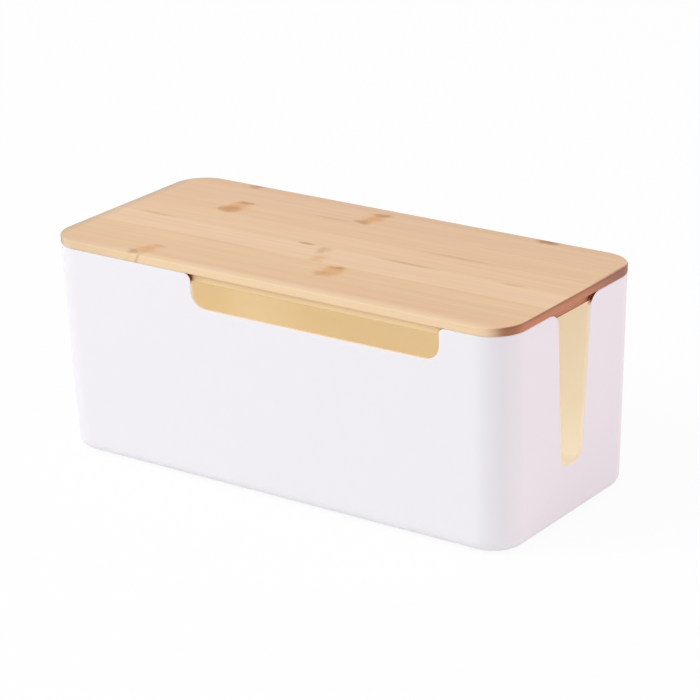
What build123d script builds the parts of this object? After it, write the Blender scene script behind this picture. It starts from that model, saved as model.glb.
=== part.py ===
from build123d import *
from math import radians, tan
import os

# Cable management box: a drafted, open-topped plastic shell with a wide cable slot in its
# front and a tall narrow one in each end, under a lift-off lid glued up from bamboo strips.
# Millimetres. +X along the length, -Y is the front, +Z up, origin under the middle of the feet.

# Lid
lid_length = 320.0
lid_width = 143.5
lid_corner_radius = 20.7
plate_thickness = 5.2  # upper layer of strips, which shows above the rim
step_thickness = 5.3  # lower layer of strips, which drops inside the rim
plate_edge_radius = 0.8
step_chamfer = 0.8
step_clearance = 0.5  # between the lower layer and the inside of the wall, at the rim

# Bamboo strips, side by side in both layers. The board is sawn from a wider blank, so the front
# and back strips are what the saw left, and the others share the width between them evenly. The
# joints of the lower layer lie between those of the upper one.
strip_count = 7
top_front_strip = 21.3
top_back_strip = 7.3
under_front_strip = 6.6
under_back_strip = 15.5

# Shell
body_height = 128.9  # underside to rim
lid_overhang = 0.2  # of the plate over the rim
wall = 2.4
floor_thickness = 2.6
draft_angle = 1.31
base_edge_radius = 7.0
rim_chamfer = 0.5

# Front cable slot, open at the rim
front_slot_width = 170.0
front_slot_depth = 20.0
front_slot_middle = 32.2  # along X
front_slot_bottom_radius = 10.0
front_slot_mouth_radius = 4.0

# End cable slots, open at the rim and narrower at the bottom
end_slot_top_width = 34.5
end_slot_bottom_width = 22.0
end_slot_depth = 95.5
end_slot_bottom_radius = 7.5
end_slot_mouth_radius = 8.0

# Rubber feet, in shallow pockets under the floor
foot_radius = 6.0
foot_proud = 1.0
foot_pocket_depth = 0.8
foot_pocket_clearance = 0.25
foot_chamfer = 0.4
foot_inset = 20.0  # foot centre in from the shell's lower edge, both ways

# Worked out from the sizes above
base_z = foot_proud
rim_z = base_z + body_height
step_z = rim_z - step_thickness
pocket_z = base_z + foot_pocket_depth
floor_z = base_z + floor_thickness

rim_length = lid_length - 2 * lid_overhang
rim_width = lid_width - 2 * lid_overhang
body_corner_radius = lid_corner_radius - lid_overhang  # the same from rim to base
draft_run = body_height * tan(radians(draft_angle))  # how far a wall leans in, rim to base
base_length = rim_length - 2 * draft_run
base_width = rim_width - 2 * draft_run

mouth_length = rim_length - 2 * wall
mouth_width = rim_width - 2 * wall
mouth_corner_radius = body_corner_radius - wall
floor_edge_radius = base_edge_radius - wall
step_length = mouth_length - 2 * step_clearance
step_width = mouth_width - 2 * step_clearance
step_corner_radius = mouth_corner_radius - step_clearance

foot_spacing_x = base_length - 2 * foot_inset
foot_spacing_y = base_width - 2 * foot_inset

cut_over = 5.0  # how far a cutter runs past the surface it starts from


def slot_profile(top_width, bottom_width, depth, bottom_radius):
    """Outline of a slot that hangs from the rim, which is at local y = 0."""
    flare = (top_width - bottom_width) / 2 * cut_over / depth
    with BuildSketch(mode=Mode.PRIVATE) as profile:
        with BuildLine():
            Polyline(
                (-top_width / 2 - flare, cut_over),
                (-bottom_width / 2, -depth),
                (bottom_width / 2, -depth),
                (top_width / 2 + flare, cut_over),
                close=True,
            )
        make_face()
        fillet(profile.vertices().group_by(Axis.Y)[0], bottom_radius)
    return profile.sketch


def strip_bounds(width, front_strip, back_strip):
    """Front and back edge of each strip in a layer of the given width."""
    inner_strip = (width - front_strip - back_strip) / (strip_count - 2)
    joints = [-width / 2 + front_strip + inner_strip * n for n in range(strip_count - 1)]
    edges = [-width / 2, *joints, width / 2]
    return list(zip(edges, edges[1:]))


def drafted_block(bottom, length, width, corner_radius, edge_radius):
    """Solid from a height up to the rim, where it has the given length and width."""
    with BuildPart() as block:
        with BuildSketch(Plane.XY.offset(bottom)):
            Rectangle(length, width)
        extrude(amount=rim_z - bottom)
        walls = block.faces().filter_by(Plane.XY, reverse=True)
        draft(walls, neutral_plane=Plane.XY.offset(rim_z), angle=-draft_angle)
        fillet(block.edges().filter_by(Plane.XY, reverse=True), corner_radius)
        fillet(block.faces().sort_by(Axis.Z)[0].edges(), edge_radius)
    return block.part


def export_piece(piece, name):
    piece.label = name
    export_step(piece, f"parts/{name}.step")


def export_strips(board, name, bounds, bottom, thickness):
    """Saw a board into its strips, numbered from the front."""
    for number, (front, back) in enumerate(bounds, start=1):
        with BuildPart() as strip:
            add(board)
            with Locations((0, (front + back) / 2, bottom + thickness / 2)):
                Box(lid_length + cut_over, back - front, thickness + cut_over, mode=Mode.INTERSECT)
        export_piece(strip.part, f"{name}_{number}")


os.makedirs("parts", exist_ok=True)

# Moulded shell
outside = drafted_block(base_z, rim_length, rim_width, body_corner_radius, base_edge_radius)
inside = drafted_block(floor_z, mouth_length, mouth_width, mouth_corner_radius, floor_edge_radius)
with BuildPart() as body_shell:
    add(outside)
    add(inside, mode=Mode.SUBTRACT)

    # wide slot in the front wall
    with BuildSketch(Plane.XZ.offset(rim_width / 2 + cut_over)):
        with Locations((front_slot_middle, rim_z)):
            add(
                slot_profile(
                    front_slot_width,
                    front_slot_width,
                    front_slot_depth,
                    front_slot_bottom_radius,
                )
            )
    extrude(amount=-(cut_over + 2 * wall + draft_run), mode=Mode.SUBTRACT)

    # one tall slot right through both ends
    with BuildSketch(Plane.YZ):
        with Locations((0, rim_z)):
            add(
                slot_profile(
                    end_slot_top_width,
                    end_slot_bottom_width,
                    end_slot_depth,
                    end_slot_bottom_radius,
                )
            )
    extrude(amount=rim_length / 2 + cut_over, both=True, mode=Mode.SUBTRACT)

    # round the mouths, where the only short edges of the rim run across the wall
    rim_edges = body_shell.edges().group_by(Axis.Z)[-1]
    across_rim = rim_edges.filter_by(lambda edge: edge.length < 2 * wall)
    fillet(across_rim.filter_by(Axis.Y), front_slot_mouth_radius)
    fillet(across_rim.filter_by(Axis.X), end_slot_mouth_radius)

    # Both outlines of the rim now run on through every slot with no corner, so easing the one
    # full-length edge of each, at the back, eases the whole of it.
    chamfer(body_shell.edges().group_by(Axis.Z)[-1].sort_by(SortBy.LENGTH)[-2:], rim_chamfer)

    # pockets for the feet
    with BuildSketch(Plane.XY.offset(base_z)):
        with GridLocations(foot_spacing_x, foot_spacing_y, 2, 2):
            Circle(foot_radius + foot_pocket_clearance)
    extrude(amount=foot_pocket_depth, mode=Mode.SUBTRACT)

export_piece(body_shell.part, "body_shell")

# Feet
foot_places = {
    "foot_front_left": (-foot_spacing_x / 2, -foot_spacing_y / 2),
    "foot_front_right": (foot_spacing_x / 2, -foot_spacing_y / 2),
    "foot_back_left": (-foot_spacing_x / 2, foot_spacing_y / 2),
    "foot_back_right": (foot_spacing_x / 2, foot_spacing_y / 2),
}
for name, (x, y) in foot_places.items():
    with BuildPart() as foot:
        with BuildSketch(Plane.XY):
            with Locations((x, y)):
                Circle(foot_radius)
        extrude(amount=pocket_z)
        chamfer(foot.faces().sort_by(Axis.Z)[0].edges(), foot_chamfer)
    export_piece(foot.part, name)

# Lid, upper layer
with BuildPart() as plate:
    with BuildSketch(Plane.XY.offset(rim_z)):
        RectangleRounded(lid_length, lid_width, lid_corner_radius)
    extrude(amount=plate_thickness)
    fillet(plate.faces().sort_by(Axis.Z)[-1].edges(), plate_edge_radius)
    fillet(plate.faces().sort_by(Axis.Z)[0].edges(), plate_edge_radius)

top_bounds = strip_bounds(lid_width, top_front_strip, top_back_strip)
export_strips(plate.part, "lid_top_strip", top_bounds, rim_z, plate_thickness)

# Lid, lower layer, which locates the lid in the mouth of the shell
with BuildPart() as step:
    with BuildSketch(Plane.XY.offset(step_z)):
        RectangleRounded(step_length, step_width, step_corner_radius)
    extrude(amount=step_thickness)
    chamfer(step.faces().sort_by(Axis.Z)[0].edges(), step_chamfer)

under_bounds = strip_bounds(step_width, under_front_strip, under_back_strip)
export_strips(step.part, "lid_under_strip", under_bounds, step_z, step_thickness)
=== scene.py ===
import math
import bpy
from mathutils import Matrix, Vector


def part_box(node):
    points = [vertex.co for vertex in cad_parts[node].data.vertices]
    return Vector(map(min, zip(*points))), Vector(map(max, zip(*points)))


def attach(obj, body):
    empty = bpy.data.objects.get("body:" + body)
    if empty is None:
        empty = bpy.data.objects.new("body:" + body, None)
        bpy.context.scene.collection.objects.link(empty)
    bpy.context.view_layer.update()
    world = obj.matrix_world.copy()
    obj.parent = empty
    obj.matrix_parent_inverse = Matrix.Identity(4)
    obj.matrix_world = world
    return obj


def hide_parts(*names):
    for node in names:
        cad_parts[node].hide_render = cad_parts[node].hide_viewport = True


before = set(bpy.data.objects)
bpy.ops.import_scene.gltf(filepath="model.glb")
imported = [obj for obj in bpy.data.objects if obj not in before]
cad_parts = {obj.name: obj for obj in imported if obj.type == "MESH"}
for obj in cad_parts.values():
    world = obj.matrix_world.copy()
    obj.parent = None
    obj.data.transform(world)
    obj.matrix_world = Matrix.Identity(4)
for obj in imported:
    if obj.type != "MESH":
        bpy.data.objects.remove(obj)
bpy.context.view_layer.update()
print("frame loaded:", len(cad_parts), "nodes")

mm = 0.001

# Camera

camera = {
    "azimuth": 35.886,  # degrees round from the front, to the right
    "elevation": 20.494,
    "roll": -1.551,
    "distance": 1.70328,  # metres
    "target": (0.00248, 0.00584, 0.07003),
    "lens": 149.438,  # mm
    "sensor": 36.0,
    "farthest": 20.0,  # metres that it sees
}


def setUpCamera():
    azimuth, elevation = math.radians(camera["azimuth"]), math.radians(camera["elevation"])
    back = Vector((
        math.sin(azimuth) * math.cos(elevation),
        -math.cos(azimuth) * math.cos(elevation),
        math.sin(elevation),
    ))
    data = bpy.data.cameras.new("camera")
    data.lens = camera["lens"]
    data.sensor_width = camera["sensor"]
    data.sensor_fit = "HORIZONTAL"
    data.clip_end = camera["farthest"]
    eye = bpy.data.objects.new("camera", data)
    bpy.context.scene.collection.objects.link(eye)
    turn = back.to_track_quat("Z", "Y").to_matrix().to_4x4()
    place = Matrix.Translation(Vector(camera["target"]) + back * camera["distance"])
    eye.matrix_world = place @ turn @ Matrix.Rotation(math.radians(camera["roll"]), 4, "Z")
    bpy.context.scene.camera = eye


setUpCamera()
print("camera placed")

# Modelling helpers

discSides = 48  # of a foot and its pocket


def pickOut(piece):
    bpy.ops.object.select_all(action="DESELECT")
    piece.select_set(True)
    bpy.context.view_layer.objects.active = piece


def addBlock(name, low, high):
    low, high = Vector(low), Vector(high)
    bpy.ops.object.select_all(action="DESELECT")
    bpy.ops.mesh.primitive_cube_add(size=1, location=(low + high) / 2)
    block = bpy.context.object
    block.name = block.data.name = name
    block.scale = high - low
    bpy.ops.object.transform_apply(location=True, rotation=True, scale=True)
    return block


def addDisc(name, middle, radius, low, high):
    bpy.ops.object.select_all(action="DESELECT")
    bpy.ops.mesh.primitive_cylinder_add(
        vertices=discSides,
        radius=radius,
        depth=high - low,
        location=(middle.x, middle.y, (low + high) / 2),
    )
    disc = bpy.context.object
    disc.name = disc.data.name = name
    bpy.ops.object.transform_apply(location=True, rotation=True, scale=True)
    return disc


def copyPiece(piece, name):
    twin = piece.copy()
    twin.data = piece.data.copy()
    twin.name = twin.data.name = name
    bpy.context.scene.collection.objects.link(twin)
    return twin


def editWith(piece, kind, test):
    # goes into edit mode with only those items selected whose corners pass the test
    mesh = piece.data
    bpy.context.tool_settings.mesh_select_mode = (kind == "VERT", kind == "EDGE", kind == "FACE")
    for item in (*mesh.vertices, *mesh.edges, *mesh.polygons):
        item.select = False
    items = {"VERT": mesh.vertices, "EDGE": mesh.edges, "FACE": mesh.polygons}[kind]
    for item in items:
        corners = [item.co] if kind == "VERT" else [mesh.vertices[i].co for i in item.vertices]
        item.select = test(*corners)
    pickOut(piece)
    bpy.ops.object.mode_set(mode="EDIT")


def leaveEdit():
    bpy.ops.object.mode_set(mode="OBJECT")


def roundEdges(piece, test, radius, segments, material=-1):
    # the new faces are of the material of that number, or else of a face beside them
    editWith(piece, "EDGE", test)
    bpy.ops.mesh.bevel(
        offset_type="OFFSET",
        offset=radius,
        segments=segments,
        profile=0.5,
        affect="EDGES",
        material=material,
    )
    leaveEdit()


def applyModifier(piece, kind, **settings):
    modifier = piece.modifiers.new(kind.title(), kind)
    for key, value in settings.items():
        setattr(modifier, key, value)
    pickOut(piece)
    bpy.ops.object.modifier_apply(modifier=modifier.name)


def smoothShade(piece, angle=32, weight=60):
    # an edge that turns by more degrees than the angle stays sharp
    pickOut(piece)
    bpy.ops.object.shade_smooth_by_angle(angle=math.radians(angle))
    applyModifier(piece, "WEIGHTED_NORMAL", mode="FACE_AREA", weight=weight, keep_sharp=True)


def near(a, b, gap=1e-5):
    return abs(a - b) < gap


def upright(a, b, steepness=10):
    # an edge that climbs far more than it leans
    return abs(a.z - b.z) > steepness * math.hypot(a.x - b.x, a.y - b.y)


# Sizes from the frame


def nodesNamed(start):
    return sorted(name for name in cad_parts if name.startswith(start))


def boxOf(nodes):
    lows, highs = zip(*(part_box(node) for node in nodes))
    low = Vector([min(corner[i] for corner in lows) for i in range(3)])
    high = Vector([max(corner[i] for corner in highs) for i in range(3)])
    return low, high


topNames = nodesNamed("lid_top_strip_")  # from the front to the back
underNames = nodesNamed("lid_under_strip_")
footNames = nodesNamed("foot_")
lidLow, lidHigh = boxOf(topNames)
underLow, underHigh = boxOf(underNames)
rimZ = lidLow.z

# Materials


def srgb(hexColour, alpha=1.0):
    channels = [int(hexColour[i:i + 2], 16) / 255 for i in (1, 3, 5)]
    linear = [c / 12.92 if c <= 0.04045 else ((c + 0.055) / 1.055) ** 2.4 for c in channels]
    return (*linear, alpha)


def addNode(tree, kind, settings=None, inputs=None):
    node = tree.nodes.new(kind)
    for key, value in (settings or {}).items():
        setattr(node, key, value)
    for key, value in (inputs or {}).items():
        if isinstance(value, bpy.types.NodeSocket):
            tree.links.new(value, node.inputs[key])
        else:
            node.inputs[key].default_value = value
    return node


def newMaterial(name):
    material = bpy.data.materials.new(name)
    material.use_nodes = True
    material.node_tree.nodes.clear()
    return material, material.node_tree


def shutIn(tree, reach, shut, clear, samples=8):
    # 1 where less than the share "shut" of the space within reach is open, and 0 where more
    # than the share "clear" is
    around = addNode(tree, "ShaderNodeAmbientOcclusion", {"samples": samples}, {"Distance": reach})
    closeness = addNode(tree, "ShaderNodeMapRange", {"interpolation_type": "SMOOTHSTEP"}, {
        "Value": around.outputs["AO"],
        "From Min": shut, "From Max": clear, "To Min": 1.0, "To Max": 0.0,
    })
    return closeness.outputs[0]


noiseSpan = (0.3, 0.7)  # where nearly all values of a noise texture lie

plastic = {
    "outside": "#F1F0F4",
    # the inside and the slots' edges are painted warmer than the outside: painted warm light off
    # the bamboo
    "inside": "#F4EDE0",
    "insideNearEnd": "#F6F5EC",
    "slotEdge": "#F1E4D0",
    "nearEnd": (45.0 * mm, 115.0 * mm),  # where along the box the inside colour and its glow turn paler, painted light from the end slot
    "roughness": 0.42,
    "roughnessSpread": 0.05,
    "sparkSize": 0.6,  # mm, of the fine moulded texture, drawn coarser than it is so that it shows
    "sparkDepth": 0.004 * mm,
    "sinkSize": 55.0,  # mm, of the slow waves that cooling leaves in a flat wall
    "sinkDepth": 0.05 * mm,
    "softness": 0.2,  # share of the light that spreads in the plastic before it leaves
    "spread": 1.5 * mm,
    "glow": "#F5DFAF",  # colour of the painted glow that stands in for daylight through the wall
    "glowNearEnd": "#FFF5E4",
    "insideGlow": 0.235,  # strength of it, inside the closed box
    "edgeGlow": 0.22,  # and on the narrow edge that a slot leaves
    "closed": (400.0 * mm, 0.1, 0.18),  # reach and open shares of the inside of the closed box, where the painted glow shows
    "gap": (8.0 * mm, 0.75, 0.97),  # and of the narrow gap under the lid, where the slots' edges get painted shadow
    "gapHeights": (-7.0 * mm, -3.0 * mm),  # from the rim, where that painted shadow begins and is full
    # colour of the painted shadow in that gap
    "gapColour": "#8A3E20",
    "sheen": 0.5,  # of the slots' edges outside that gap, the usual value; none in the painted shadow
}


def towardsEnd(tree, place, colour, endColour):
    # one colour over most of the box, and another at its right end
    parts = addNode(tree, "ShaderNodeSeparateXYZ", None, {0: place})
    start, full = plastic["nearEnd"]
    nearEnd = addNode(tree, "ShaderNodeMapRange", {"interpolation_type": "SMOOTHSTEP"}, {
        "Value": parts.outputs["X"], "From Min": start, "From Max": full,
    })
    mixed = addNode(tree, "ShaderNodeMix", {"data_type": "RGBA"}, {
        0: nearEnd.outputs[0], 6: srgb(plastic[colour]), 7: srgb(plastic[endColour]),
    })
    return mixed.outputs[2]


def outsideColours(tree, place):
    return {"Base Color": srgb(plastic["outside"])}


def insideColours(tree, place):
    # painted glow: a soft glow on the inside of the closed box stands in for the light that the
    # thin wall lets through
    glow = addNode(tree, "ShaderNodeMath", {"operation": "MULTIPLY"}, {
        0: shutIn(tree, *plastic["closed"]), 1: plastic["insideGlow"],
    })
    return {
        "Base Color": towardsEnd(tree, place, "inside", "insideNearEnd"),
        "Emission Color": towardsEnd(tree, place, "glow", "glowNearEnd"),
        "Emission Strength": glow.outputs[0],
    }


def slotEdgeColours(tree, place):
    # painted glow as well, and painted shadow, dark and dull, in the narrow gap under the closed
    # lid
    parts = addNode(tree, "ShaderNodeSeparateXYZ", None, {0: place})
    start, full = plastic["gapHeights"]
    nearRim = addNode(tree, "ShaderNodeMapRange", {"interpolation_type": "SMOOTHSTEP"}, {
        "Value": parts.outputs["Z"], "From Min": rimZ + start, "From Max": rimZ + full,
    })
    inGap = addNode(tree, "ShaderNodeMath", {"operation": "MULTIPLY"}, {
        0: shutIn(tree, *plastic["gap"]), 1: nearRim.outputs[0],
    })
    colour = addNode(tree, "ShaderNodeMix", {"data_type": "RGBA"}, {
        0: inGap.outputs[0], 6: srgb(plastic["slotEdge"]), 7: srgb(plastic["gapColour"]),
    })
    glow = addNode(tree, "ShaderNodeMapRange", None, {
        "Value": inGap.outputs[0], "To Min": plastic["edgeGlow"], "To Max": 0.0,
    })
    sheen = addNode(tree, "ShaderNodeMapRange", None, {
        "Value": inGap.outputs[0], "To Min": plastic["sheen"], "To Max": 0.0,
    })
    return {
        "Base Color": colour.outputs[2],
        "Specular IOR Level": sheen.outputs[0],
        "Emission Color": towardsEnd(tree, place, "glow", "glowNearEnd"),
        "Emission Strength": glow.outputs[0],
    }


def polypropylene(name, colours):
    # White polypropylene, injection moulded in a spark-eroded tool: satin, with no sharp
    # reflection, and a little light spreads in it.
    material, tree = newMaterial(name)
    place = addNode(tree, "ShaderNodeTexCoord").outputs["Object"]
    spark = addNode(tree, "ShaderNodeTexNoise", None, {
        "Vector": place, "Scale": 1000 / plastic["sparkSize"], "Detail": 2.0, "Roughness": 0.6,
    })
    sink = addNode(tree, "ShaderNodeTexNoise", None, {
        "Vector": place, "Scale": 1000 / plastic["sinkSize"], "Detail": 1.0, "Roughness": 0.4,
    })
    roughness = addNode(tree, "ShaderNodeMapRange", None, {
        "Value": spark.outputs[0],
        "From Min": noiseSpan[0], "From Max": noiseSpan[1],
        "To Min": plastic["roughness"] - plastic["roughnessSpread"],
        "To Max": plastic["roughness"] + plastic["roughnessSpread"],
    })
    waves = addNode(tree, "ShaderNodeBump", None, {
        "Height": sink.outputs[0], "Strength": 1.0, "Distance": plastic["sinkDepth"],
    })
    texture = addNode(tree, "ShaderNodeBump", None, {
        "Height": spark.outputs[0], "Strength": 1.0, "Distance": plastic["sparkDepth"],
        "Normal": waves.outputs[0],
    })
    shader = addNode(tree, "ShaderNodeBsdfPrincipled", {"subsurface_method": "RANDOM_WALK"}, {
        "Roughness": roughness.outputs[0],
        "IOR": 1.49,
        "Subsurface Weight": plastic["softness"],
        "Subsurface Radius": (1.0, 1.0, 1.0),
        "Subsurface Scale": plastic["spread"],
        "Normal": texture.outputs[0],
        **colours(tree, place),
    })
    addNode(tree, "ShaderNodeOutputMaterial", None, {"Surface": shader.outputs[0]})
    return material


# Shell

shell = {
    "overhang": 0.2 * mm,  # of the lid over the rim
    "wall": 2.4 * mm,
    "draft": 1.31,  # degrees that each wall leans in, going down
    "cornerRadius": 20.5 * mm,
    "baseRadius": 7.0 * mm,
    "edgeRound": 0.5 * mm,  # of every edge that turns by more degrees than the angle
    "edgeAngle": 40,
    "cornerSegments": 24,
    "baseSegments": 8,
    "edgeSegments": 3,
    "pocketClearance": 0.25 * mm,  # round each foot
}
frontSlot = {
    "width": 170.0 * mm,
    "depth": 20.0 * mm,
    "middle": 32.2 * mm,
    "bottomRadius": 10.0 * mm,
    "mouthRadius": 4.0 * mm,
    "cut": (-100.0 * mm, -50.0 * mm),  # across the box, from in front of the wall to inside it
}
endSlot = {
    "topWidth": 34.5 * mm,
    "bottomWidth": 22.0 * mm,
    "depth": 95.5 * mm,
    "bottomRadius": 7.5 * mm,
    "mouthRadius": 8.0 * mm,
    "cut": (-200.0 * mm, 200.0 * mm),  # along the box, through both ends
}
bottomSegments = 12  # of each bottom corner of a slot
mouthSegments = 8
over = 5.0 * mm  # how far a cutter runs past the surface that it starts from


def cutAway(piece, cutter, material=None):
    # the surface that the cut leaves is of the given material, or else of the piece's first
    if material:
        cutter.data.materials.append(material)
    applyModifier(
        piece,
        "BOOLEAN",
        operation="DIFFERENCE",
        solver="EXACT",
        object=cutter,
        material_mode="TRANSFER" if material else "INDEX",
    )
    bpy.data.objects.remove(cutter)


def frontCutter():
    left = frontSlot["middle"] - frontSlot["width"] / 2
    right = frontSlot["middle"] + frontSlot["width"] / 2
    front, back = frontSlot["cut"]
    bottom = rimZ - frontSlot["depth"]
    cutter = addBlock("frontCutter", (left, front, bottom), (right, back, rimZ + over))
    roundEdges(
        cutter,
        lambda a, b: near(a.z, bottom) and near(b.z, bottom) and near(a.x, b.x),
        frontSlot["bottomRadius"],
        bottomSegments,
    )
    return cutter


def endCutter():
    left, right = endSlot["cut"]
    bottom = rimZ - endSlot["depth"]
    slope = (endSlot["topWidth"] - endSlot["bottomWidth"]) / 2 / endSlot["depth"]
    topHalf = endSlot["topWidth"] / 2 + slope * over
    cutter = addBlock("endCutter", (left, -topHalf, bottom), (right, topHalf, rimZ + over))
    editWith(cutter, "VERT", lambda a: near(a.z, bottom))
    bpy.ops.transform.resize(value=(1, endSlot["bottomWidth"] / 2 / topHalf, 1))
    leaveEdit()
    roundEdges(
        cutter,
        lambda a, b: near(a.z, bottom) and near(b.z, bottom) and near(a.y, b.y),
        endSlot["bottomRadius"],
        bottomSegments,
    )
    return cutter


def mouldShell(outer, inner, cut):
    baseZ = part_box("body_shell")[0].z
    halfLength = lidHigh.x - shell["overhang"]
    halfWidth = lidHigh.y - shell["overhang"]
    low, high = (-halfLength, -halfWidth, baseZ), (halfLength, halfWidth, rimZ)
    piece = addBlock("mouldedShell", low, high)

    # the walls lean in towards the base
    run = (rimZ - baseZ) * math.tan(math.radians(shell["draft"]))
    editWith(piece, "VERT", lambda a: near(a.z, baseZ))
    bpy.ops.transform.resize(value=(1 - run / halfLength, 1 - run / halfWidth, 1))
    leaveEdit()

    roundEdges(piece, upright, shell["cornerRadius"], shell["cornerSegments"])
    roundEdges(
        piece,
        lambda a, b: near(a.z, baseZ) and near(b.z, baseZ),
        shell["baseRadius"],
        shell["baseSegments"],
    )

    # open at the rim, then given its wall, inwards
    editWith(piece, "FACE", lambda *corners: all(near(c.z, rimZ) for c in corners))
    bpy.ops.mesh.delete(type="FACE")
    leaveEdit()
    piece.data.materials.append(outer)
    piece.data.materials.append(inner)
    applyModifier(
        piece,
        "SOLIDIFY",
        thickness=shell["wall"],
        offset=-1,
        use_even_offset=True,
        material_offset=1,
    )

    # the inner edge of the rim comes out a hair high, because the walls lean
    editWith(piece, "VERT", lambda a: a.z > rimZ - shell["wall"])
    bpy.ops.transform.resize(value=(1, 1, 0), center_override=(0, 0, rimZ))
    leaveEdit()

    cutAway(piece, frontCutter(), cut)
    cutAway(piece, endCutter(), cut)

    # the mouth of each slot, of the same material as its edge
    cutMaterial = piece.data.materials.find(cut.name)

    def acrossRim(a, b):
        return near(a.z, rimZ) and near(b.z, rimZ) and (a - b).length < 2 * shell["wall"]

    roundEdges(
        piece,
        lambda a, b: acrossRim(a, b) and near(a.x, b.x)
        and near(abs(a.x - frontSlot["middle"]), frontSlot["width"] / 2),
        frontSlot["mouthRadius"],
        mouthSegments,
        cutMaterial,
    )
    roundEdges(
        piece,
        lambda a, b: acrossRim(a, b) and near(a.y, b.y)
        and near(abs(a.y), endSlot["topWidth"] / 2),
        endSlot["mouthRadius"],
        mouthSegments,
        cutMaterial,
    )
    applyModifier(
        piece,
        "BEVEL",
        width=shell["edgeRound"],
        segments=shell["edgeSegments"],
        limit_method="ANGLE",
        angle_limit=math.radians(shell["edgeAngle"]),
        use_clamp_overlap=False,
    )

    # shallow pockets that the feet sit in
    for node in footNames:
        low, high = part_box(node)
        radius = (high.x - low.x) / 2 + shell["pocketClearance"]
        cutAway(piece, addDisc("pocketCutter", (low + high) / 2, radius, baseZ - over, high.z))
    smoothShade(piece)
    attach(piece, "body")
    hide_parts("body_shell")
    return piece


mouldShell(
    polypropylene("polypropyleneOutside", outsideColours),
    polypropylene("polypropyleneInside", insideColours),
    polypropylene("polypropyleneSlotEdge", slotEdgeColours),
)
print("shell moulded")

# Feet

foot = {
    "lowerRound": 0.5 * mm,
    "roundSegments": 4,
    "padRim": 1.2 * mm,  # flat ring that stands on the table, round a shallow dish
    "padDish": 0.25 * mm,
    "colour": "#D4D2CE",
    "roughness": 0.62,
    "grit": 0.5,  # mm, of the matt skin
    "gritDepth": 0.006 * mm,
}


def siliconeRubber():
    # Pale grey silicone rubber, pressed in a matt mould: no sheen, a slightly dusty skin.
    material, tree = newMaterial("siliconeRubber")
    place = addNode(tree, "ShaderNodeTexCoord").outputs["Object"]
    grit = addNode(tree, "ShaderNodeTexNoise", None, {
        "Vector": place, "Scale": 1000 / foot["grit"], "Detail": 2.0, "Roughness": 0.6,
    })
    skin = addNode(tree, "ShaderNodeBump", None, {
        "Height": grit.outputs[0], "Strength": 1.0, "Distance": foot["gritDepth"],
    })
    shader = addNode(tree, "ShaderNodeBsdfPrincipled", None, {
        "Base Color": srgb(foot["colour"]),
        "Roughness": foot["roughness"],
        "IOR": 1.43,
        "Normal": skin.outputs[0],
    })
    addNode(tree, "ShaderNodeOutputMaterial", None, {"Surface": shader.outputs[0]})
    return material


def pressFoot():
    # made once, round the middle of the box, and copied to its four places
    low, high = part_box(footNames[0])
    radius = (high.x - low.x) / 2
    piece = addDisc("foot", Vector(), radius, low.z, high.z)
    editWith(piece, "FACE", lambda *corners: all(near(c.z, low.z) for c in corners))
    bpy.ops.mesh.inset(thickness=foot["padRim"], use_even_offset=True)
    bpy.ops.mesh.inset(thickness=foot["padDish"], use_even_offset=True)
    bpy.ops.transform.translate(value=(0, 0, foot["padDish"]))
    leaveEdit()
    roundEdges(
        piece,
        lambda a, b: near(a.z, low.z) and near(b.z, low.z) and near(a.xy.length, radius)
        and near(b.xy.length, radius),
        foot["lowerRound"],
        foot["roundSegments"],
    )
    return piece


def placeFoot(pressed, node):
    low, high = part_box(node)
    corner = "".join(word.title() for word in node.split("_")[1:])
    piece = copyPiece(pressed, "foot" + corner)
    editWith(piece, "VERT", lambda a: True)
    bpy.ops.transform.translate(value=((low.x + high.x) / 2, (low.y + high.y) / 2, 0))
    leaveEdit()
    smoothShade(piece)
    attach(piece, "body")
    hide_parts(node)
    return piece


pressed = pressFoot()
rubber = siliconeRubber()
for node in footNames:
    placeFoot(pressed, node).data.materials.append(rubber)
bpy.data.objects.remove(pressed)
print("feet placed")

# Bamboo

bamboo = {
    "fibreLength": 60.0,  # mm
    "fibreWidth": 0.9,  # mm, coarser than the real 0.3 so that it shows
    "fibreShare": 0.5,  # of the grain, to which the slower bands add theirs
    "bandLength": 150.0,
    "bandWidth": 5.0,
    "bandShare": 0.9,
    "grainShift": 100.0,  # of the pattern for each metre across, so that no two strips match
    "grainSpan": (0.45, 0.95),  # of fibres and bands together, from the palest to the darkest
    "grainShade": 0.2,  # how far the grain darkens the wood at most
    "fibreDepth": 0.01 * mm,
    "roughness": 0.42,
    "glueWidth": 0.3,  # mm of each strip that its glue line darkens
    "glueShade": 0.3,
    "sawn": (0.3, 0.75),  # how squarely a face looks along the lid, where it turns to a sawn end
    "endColour": "#C27E54",
    "vesselSize": 0.8,  # mm, dark bundles in the sawn ends
    "vesselSpan": (0.15, 0.45),  # from the middle of each, where it is full and where it ends
    "vesselShade": 0.45,
    "vesselColour": "#8A4C30",
    "arrisColour": "#7A4628",  # of the outer edge of a sawn end, which is darker
    "arrisShade": 0.42,
    "arrisDepth": (0.7 * mm, 2.4 * mm),  # how deep that is full and where it ends
    "corner": (0.1, 0.45),  # how far a sawn end has turned the corner of the lid
    "cornerShade": 0.5,
    "planed": (0.3, 0.8),  # and how far it has turned into a long side
    "planedShade": 0.8,
    "topSide": "#EBCCA4",  # of the long sides, which are planed across the layers of the cane
    "underSide": "#F3D5A4",
    "wander": (12.0 * mm, 6.4 * mm, 0.0),  # how far the outline of a mark strays, end to end
    "wanderSize": 7.0,  # mm
    "markEdge": 0.8,  # how far from its outline to its middle a mark is full
    "markBreak": (0.75, 1.25),  # what the fibres make of its strength, from pale to dark ones
    "stainWidth": 2.4,  # mm, half the width of a stained stretch of glue line
    "gap": (8.0 * mm, 0.4, 0.8),  # reach and open shares of the narrow gap round the lower layer, which painted shade darkens
    "gapShade": 0.2,
}
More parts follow.
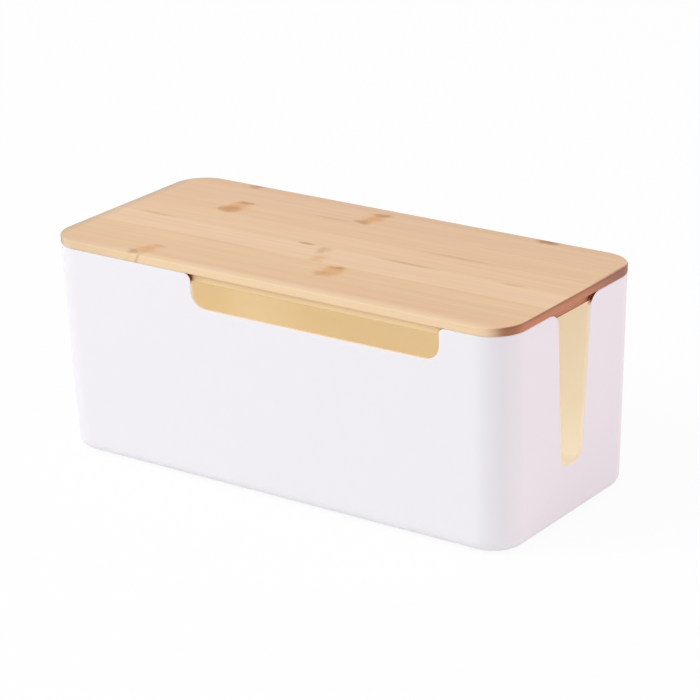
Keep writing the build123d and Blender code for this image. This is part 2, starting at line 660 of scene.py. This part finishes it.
stains = {
    "honey": "#D89848",
    "rust": "#BC7A3C",
    "umber": "#A86A2C",
    "moss": "#A07C34",
    "glue": "#B07C46",
    # painted shadow for the narrow gaps round the lower layer
    "scorch": "#641A04",
    "pale": "#F6DCB2",
    "dusk": "#8C5642",
    "worn": "#A0998C",
}
straightStains = ("glue", "pale", "dusk", "worn")  # with an even outline, where the others stray
topTints = ("#E8C194", "#EAC596", "#EECCA2", "#EBC79B", "#E8C296", "#E6C097", "#E0BC94")
underTints = ("#F2D8A4", "#E9C89B", "#E6C49A", "#E9C9A0", "#EACBA2", "#E6C49C", "#E8C8A0")

# Marks in the top layer, as ovals in mm: middle along and across the lid, half length, half
# width, stain, strength. Each strip has the knuckles of its own cane.
topMarks = {
    1: [
        (0, -72, 500, 9, "pale", 0.5),  # the front edge
        (-165, -72, 90, 12, "dusk", 0.14),
        (-92, -60, 9, 13, "honey", 0.65),
        (-98, -67.5, 5, 5, "umber", 0.55),
        (-90, -51, 7, 4, "umber", 0.3),
        (-91, -72, 2.5, 2.5, "umber", 0.35),
    ],
    2: [
        (22, -37, 11, 15, "honey", 0.75),
        (21, -31, 5, 3.5, "umber", 0.5),
        (19, -43, 7, 6, "rust", 0.35),
    ],
    3: [(-3, -10, 6, 9, "moss", 0.4), (3, -25, 8, 12, "honey", 0.4)],
    5: [
        (-97, 30, 10, 16, "honey", 0.8),
        (-95, 39, 8, 4, "umber", 0.55),
        (-98, 25, 9, 8, "rust", 0.65),
    ],
    6: [
        (-12, 53, 9, 16, "honey", 0.8),
        (-10, 61, 8, 5, "umber", 0.6),
        (-14, 45, 8, 4, "umber", 0.5),
    ],
    7: [
        (-110, 69, 7, 6, "umber", 0.6),
        (100, 69, 10, 5, "umber", 0.9),
        (0, 71.8, 900, 1.6, "dusk", 0.5),  # the back edge
    ],
}
# Across the whole board, so on every strip of the top layer
endMarks = [
    (160, 62, 3, 60, "dusk", 0.8),  # right end, darkest near the back
    (-162, 0, 11, 900, "worn", 0.42),  # left end, greyer
]
# Painted shadow on the lower layer's sides where they pass the mouths of the slots, in the narrow
# gap between lid and shell. It shows only in that gap, so not once the lid is lifted.
underMarks = {
    1: [(-56.5, -68.6, 5, 4, "scorch", 1.0)],
    5: [(157, 22, 4, 9, "scorch", 1.0), (157, 27, 4, 8, "scorch", 1.0)],
}
# Stained stretches of the glue lines: which line from the front, from, to (mm along), strength
glueStains = [
    (2, -140, -6, 0.15),
    (3, -150, -108, 0.32),
    (3, -27, -11, 0.75),
    (3, 24, 80, 0.42),
    (3, 110, 134, 0.32),
    (4, 34, 108, 0.28),
    (5, -54, -14, 0.25),
]


def stained(tree, colour, layers):
    # lays stains over a colour, each by its amount from 0 to 1
    for amount, stain in layers:
        laid = addNode(tree, "ShaderNodeMix", {"data_type": "RGBA"}, {
            0: amount, 6: colour, 7: srgb(stain),
        })
        colour = laid.outputs[2]
    return colour


def streaks(tree, place, length, width, shift):
    stretched = addNode(tree, "ShaderNodeMapping", None, {
        "Vector": place,
        "Location": (shift, 0, 0),
        "Scale": (1000 / length, 1000 / width, 1000 / width),
    })
    noise = addNode(tree, "ShaderNodeTexNoise", None, {
        "Vector": stretched.outputs[0], "Scale": 1.0, "Detail": 2.0, "Roughness": 0.55,
    })
    return noise.outputs[0]


def grainAmount(tree, fibres, bands):
    slow = addNode(tree, "ShaderNodeMath", {"operation": "MULTIPLY"}, {
        0: bands, 1: bamboo["bandShare"],
    })
    both = addNode(tree, "ShaderNodeMath", {"operation": "MULTIPLY_ADD"}, {
        0: fibres, 1: bamboo["fibreShare"], 2: slow.outputs[0],
    })
    pale, dark = bamboo["grainSpan"]
    shade = addNode(tree, "ShaderNodeMapRange", None, {
        "Value": both.outputs[0],
        "From Min": pale, "From Max": dark, "To Max": bamboo["grainShade"],
    })
    return shade.outputs[0]


def glueAmount(tree, parts, bands, low, high):
    # a thin line along both sides of the strip, here and there fainter
    middle, half = (low.y + high.y) / 2, (high.y - low.y) / 2
    fromMiddle = addNode(tree, "ShaderNodeMath", {"operation": "SUBTRACT"}, {
        0: parts.outputs["Y"], 1: middle,
    })
    aside = addNode(tree, "ShaderNodeMath", {"operation": "ABSOLUTE"}, {0: fromMiddle.outputs[0]})
    line = addNode(tree, "ShaderNodeMapRange", {"interpolation_type": "SMOOTHSTEP"}, {
        "Value": aside.outputs[0],
        "From Min": half - bamboo["glueWidth"] * mm, "From Max": half,
        "To Max": bamboo["glueShade"],
    })
    amount = addNode(tree, "ShaderNodeMath", {"operation": "MULTIPLY"}, {
        0: line.outputs[0], 1: bands,
    })
    return amount.outputs[0]


def sawnEnd(tree, place, parts, sideways, outerZ):
    # reddish end grain full of dark vessels, darker along its outer edge and round the corners
    vessels = addNode(tree, "ShaderNodeTexVoronoi", None, {
        "Vector": place, "Scale": 1000 / bamboo["vesselSize"],
    })
    full, end = bamboo["vesselSpan"]
    dots = addNode(tree, "ShaderNodeMapRange", {"interpolation_type": "SMOOTHSTEP"}, {
        "Value": vessels.outputs["Distance"],
        "From Min": full, "From Max": end, "To Min": bamboo["vesselShade"], "To Max": 0.0,
    })
    fromOuter = addNode(tree, "ShaderNodeMath", {"operation": "SUBTRACT"}, {
        0: parts.outputs["Z"], 1: outerZ,
    })
    depth = addNode(tree, "ShaderNodeMath", {"operation": "ABSOLUTE"}, {0: fromOuter.outputs[0]})
    full, end = bamboo["arrisDepth"]
    arris = addNode(tree, "ShaderNodeMapRange", {"interpolation_type": "SMOOTHSTEP"}, {
        "Value": depth.outputs[0],
        "From Min": full, "From Max": end, "To Min": bamboo["arrisShade"], "To Max": 0.0,
    })
    start, full = bamboo["corner"]
    turning = addNode(tree, "ShaderNodeMapRange", {"interpolation_type": "SMOOTHSTEP"}, {
        "Value": sideways, "From Min": start, "From Max": full, "To Max": bamboo["cornerShade"],
    })
    return stained(tree, srgb(bamboo["endColour"]), [
        (dots.outputs[0], bamboo["vesselColour"]),
        (arris.outputs[0], bamboo["arrisColour"]),
        (turning.outputs[0], stains["dusk"]),
    ])


def markLayers(tree, place, marks, top, fibres, gap):
    # each mark is an oval, full inside and soft at its outline, broken up by the fibres
    stray = addNode(tree, "ShaderNodeTexNoise", None, {
        "Vector": place, "Scale": 1000 / bamboo["wanderSize"], "Detail": 3.0, "Roughness": 0.6,
    })
    centred = addNode(tree, "ShaderNodeVectorMath", {"operation": "SUBTRACT"}, {
        0: stray.outputs["Color"], 1: (0.5, 0.5, 0.5),
    })
    wander = addNode(tree, "ShaderNodeVectorMath", {"operation": "MULTIPLY"}, {
        0: centred.outputs[0], 1: bamboo["wander"],
    })
    strayed = addNode(tree, "ShaderNodeVectorMath", {"operation": "ADD"}, {
        0: place, 1: wander.outputs[0],
    })
    pale, dark = bamboo["markBreak"]
    broken = addNode(tree, "ShaderNodeMapRange", None, {
        "Value": fibres,
        "From Min": noiseSpan[0], "From Max": noiseSpan[1], "To Min": pale, "To Max": dark,
    })
    layers = []
    for x, y, halfLength, halfWidth, stain, strength in marks:
        fitted = addNode(tree, "ShaderNodeMapping", {"vector_type": "TEXTURE"}, {
            "Vector": place if stain in straightStains else strayed.outputs[0],
            "Location": (x * mm, y * mm, top),
            "Scale": (halfLength * mm, halfWidth * mm, 1.0),
        })
        oval = addNode(tree, "ShaderNodeTexGradient", {"gradient_type": "SPHERICAL"}, {
            "Vector": fitted.outputs[0],
        })
        soft = addNode(tree, "ShaderNodeMapRange", {"interpolation_type": "SMOOTHSTEP"}, {
            "Value": oval.outputs["Fac"], "From Max": bamboo["markEdge"], "To Max": strength,
        })
        # painted shadow shows only in a narrow gap; the other marks are broken up by the fibres
        amount = addNode(tree, "ShaderNodeMath", {"operation": "MULTIPLY"}, {
            0: soft.outputs[0], 1: gap if stain == "scorch" else broken.outputs[0],
        })
        layers.append((amount.outputs[0], stains[stain]))
    return layers


def bambooStrip(name, tint, side, low, high, marks):
    # Bamboo strip, planed, sanded and rubbed with matt lacquer: straight fine fibres, a soft
    # sheen, a brown knuckle where the cane had a joint, and reddish sawn ends.
    material, tree = newMaterial(name)
    coordinates = addNode(tree, "ShaderNodeTexCoord")
    place = coordinates.outputs["Object"]
    parts = addNode(tree, "ShaderNodeSeparateXYZ", None, {0: place})
    shift = low.y * bamboo["grainShift"]
    fibres = streaks(tree, place, bamboo["fibreLength"], bamboo["fibreWidth"], shift)
    bands = streaks(tree, place, bamboo["bandLength"], bamboo["bandWidth"], shift)

    # which way the surface faces tells the sawn ends and the planed sides from the top
    facing = addNode(tree, "ShaderNodeSeparateXYZ", None, {0: coordinates.outputs["Normal"]})
    endways = addNode(tree, "ShaderNodeMath", {"operation": "ABSOLUTE"}, {0: facing.outputs["X"]})
    sideways = addNode(tree, "ShaderNodeMath", {"operation": "ABSOLUTE"}, {0: facing.outputs["Y"]})
    start, full = bamboo["sawn"]
    sawn = addNode(tree, "ShaderNodeMapRange", {"interpolation_type": "SMOOTHSTEP"}, {
        "Value": endways.outputs[0], "From Min": start, "From Max": full,
    })
    start, full = bamboo["planed"]
    planed = addNode(tree, "ShaderNodeMapRange", {"interpolation_type": "SMOOTHSTEP"}, {
        "Value": sideways.outputs[0],
        "From Min": start, "From Max": full, "To Max": bamboo["planedShade"],
    })
    lengthwise = stained(tree, srgb(tint), [
        (grainAmount(tree, fibres, bands), stains["rust"]),
        (glueAmount(tree, parts, bands, low, high), stains["glue"]),
        (planed.outputs[0], side),
    ])
    inUnderLayer = low.z < rimZ
    outerZ = low.z if inUnderLayer else high.z
    wood = addNode(tree, "ShaderNodeMix", {"data_type": "RGBA"}, {
        0: sawn.outputs[0],
        6: lengthwise,
        7: sawnEnd(tree, place, parts, sideways.outputs[0], outerZ),
    })
    gap = shutIn(tree, *bamboo["gap"]) if inUnderLayer else None
    layers = markLayers(tree, place, marks, high.z, fibres, gap)
    # painted shade darkens the lower layer in the narrow gaps round it
    if inUnderLayer:
        shade = addNode(tree, "ShaderNodeMath", {"operation": "MULTIPLY"}, {
            0: gap, 1: bamboo["gapShade"],
        })
        layers.append((shade.outputs[0], stains["scorch"]))

    raised = addNode(tree, "ShaderNodeBump", None, {
        "Height": fibres, "Strength": 1.0, "Distance": bamboo["fibreDepth"],
    })
    shader = addNode(tree, "ShaderNodeBsdfPrincipled", None, {
        "Base Color": stained(tree, wood.outputs[2], layers),
        "Roughness": bamboo["roughness"],
        "IOR": 1.5,
        "Normal": raised.outputs[0],
    })
    addNode(tree, "ShaderNodeOutputMaterial", None, {"Surface": shader.outputs[0]})
    return material


def glueMarks(number, low, high):
    # the stained stretches of a strip's two glue lines, as thin ovals on them
    marks = []
    for line, start, end, strength in glueStains:
        if line not in (number - 1, number):
            continue
        middle, half = (start + end) / 2, (end - start) / 2
        edge = (high if line == number else low).y / mm
        marks.append((middle, edge, half, bamboo["stainWidth"], "glue", strength))
    return marks


# Lid

lid = {
    "cornerRadius": 20.7 * mm,
    "edgeRound": 0.8 * mm,
    "underCornerRadius": 17.6 * mm,
    "underChamfer": 0.8 * mm,
    "cornerSegments": 24,
    "edgeSegments": 4,
}


def makeBoard(name, low, high, cornerRadius):
    board = addBlock(name, low, high)
    roundEdges(board, upright, cornerRadius, lid["cornerSegments"])
    return board


def sawStrip(board, node, name):
    # one strip of the board, between the node's front and back edges
    boardFront = min(corner[1] for corner in board.bound_box)
    boardBack = max(corner[1] for corner in board.bound_box)
    front, back = (corner.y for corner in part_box(node))
    strip = copyPiece(board, name)
    for place, side in ((front, "clear_inner"), (back, "clear_outer")):
        if near(place, boardFront) or near(place, boardBack):
            continue
        editWith(strip, "VERT", lambda a: True)
        bpy.ops.mesh.bisect(
            plane_co=(0, place, 0), plane_no=(0, 1, 0), use_fill=True, **{side: True}
        )
        leaveEdit()
    smoothShade(strip)
    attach(strip, "lid")
    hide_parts(node)
    return strip


topBoard = makeBoard("topBoard", lidLow, lidHigh, lid["cornerRadius"])
roundEdges(topBoard, lambda a, b: near(a.z, b.z), lid["edgeRound"], lid["edgeSegments"])
underBoard = makeBoard("underBoard", underLow, underHigh, lid["underCornerRadius"])
roundEdges(
    underBoard,
    lambda a, b: near(a.z, underLow.z) and near(b.z, underLow.z),
    lid["underChamfer"],
    segments=1,
)
for number, node in enumerate(topNames, start=1):
    low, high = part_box(node)
    tint, side = topTints[number - 1], bamboo["topSide"]
    marks = topMarks.get(number, []) + glueMarks(number, low, high) + endMarks
    wood = bambooStrip(f"bambooTop{number}", tint, side, low, high, marks)
    sawStrip(topBoard, node, f"topStrip{number}").data.materials.append(wood)
for number, node in enumerate(underNames, start=1):
    low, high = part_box(node)
    tint, side = underTints[number - 1], bamboo["underSide"]
    marks = underMarks.get(number, [])
    wood = bambooStrip(f"bambooUnder{number}", tint, side, low, high, marks)
    sawStrip(underBoard, node, f"underStrip{number}").data.materials.append(wood)
bpy.data.objects.remove(topBoard)
bpy.data.objects.remove(underBoard)
print("lid sawn")

# Floor and light

studio = {
    "floorSize": 6.0,
    "floorThickness": 0.01,
    "floorColour": "#FAFAFA",
    "floorGlow": 0.92,  # share of the floor that the camera sees as plain white
    "ambient": 0.69,  # strength of the light from all round
    "ambientColour": "#FFFCFE",
    "aim": (0, 0, 0.07),  # where the lamps point
    "lamps": {  # place, size, power, colour
        "key": ((-1.8, -2.1, 2.4), 1.8, 47.0, "#FCFFFF"),
        "side": ((2.8, 1.6, 0.9), 1.6, 18.2, "#FFCAD2"),
    },
}


def seenDirectly(tree):
    # 1 for what the camera sees, also in a reflection or through something clear, else 0
    ray = addNode(tree, "ShaderNodeLightPath")
    indirect = addNode(tree, "ShaderNodeMath", {"operation": "MAXIMUM"}, {
        0: ray.outputs["Is Glossy Ray"], 1: ray.outputs["Is Transmission Ray"],
    })
    return addNode(tree, "ShaderNodeMath", {"operation": "MAXIMUM"}, {
        0: ray.outputs["Is Camera Ray"], 1: indirect.outputs[0],
    }).outputs[0]


def layFloor():
    size = studio["floorSize"] / 2
    floor = addBlock("floor", (-size, -size, -studio["floorThickness"]), (size, size, 0))
    material, tree = newMaterial("paperFloor")
    share = addNode(tree, "ShaderNodeMath", {"operation": "MULTIPLY"}, {
        0: seenDirectly(tree), 1: studio["floorGlow"],
    })
    paper = addNode(tree, "ShaderNodeBsdfDiffuse", None, {"Color": srgb(studio["floorColour"])})
    white = addNode(tree, "ShaderNodeEmission", None, {"Color": (1, 1, 1, 1), "Strength": 1.0})
    both = addNode(tree, "ShaderNodeMixShader", None, {
        0: share.outputs[0], 1: paper.outputs[0], 2: white.outputs[0],
    })
    addNode(tree, "ShaderNodeOutputMaterial", None, {"Surface": both.outputs[0]})
    floor.data.materials.append(material)


def lightRoom():
    world = bpy.data.worlds.new("world")
    bpy.context.scene.world = world
    world.use_nodes = True
    tree = world.node_tree
    tree.nodes.clear()
    seen = seenDirectly(tree)
    strength = addNode(tree, "ShaderNodeMapRange", None, {
        "Value": seen, "To Min": studio["ambient"], "To Max": 1.0,
    })
    tint = addNode(tree, "ShaderNodeMix", {"data_type": "RGBA"}, {
        0: seen, 6: srgb(studio["ambientColour"]), 7: (1, 1, 1, 1),
    })
    sky = addNode(tree, "ShaderNodeBackground", None, {
        "Color": tint.outputs[2], "Strength": strength.outputs[0],
    })
    addNode(tree, "ShaderNodeOutputWorld", None, {"Surface": sky.outputs[0]})

    for name, (place, size, power, colour) in studio["lamps"].items():
        data = bpy.data.lights.new(name, "AREA")
        data.shape = "DISK"
        data.size = size
        data.energy = power
        data.color = srgb(colour)[:3]
        lamp = bpy.data.objects.new(name, data)
        bpy.context.scene.collection.objects.link(lamp)
        aim = Vector(studio["aim"]) - Vector(place)
        turn = aim.to_track_quat("-Z", "Y").to_matrix().to_4x4()
        lamp.matrix_world = Matrix.Translation(place) @ turn


layFloor()
lightRoom()
bpy.context.scene.view_settings.view_transform = "Standard"
print("floor and light set")
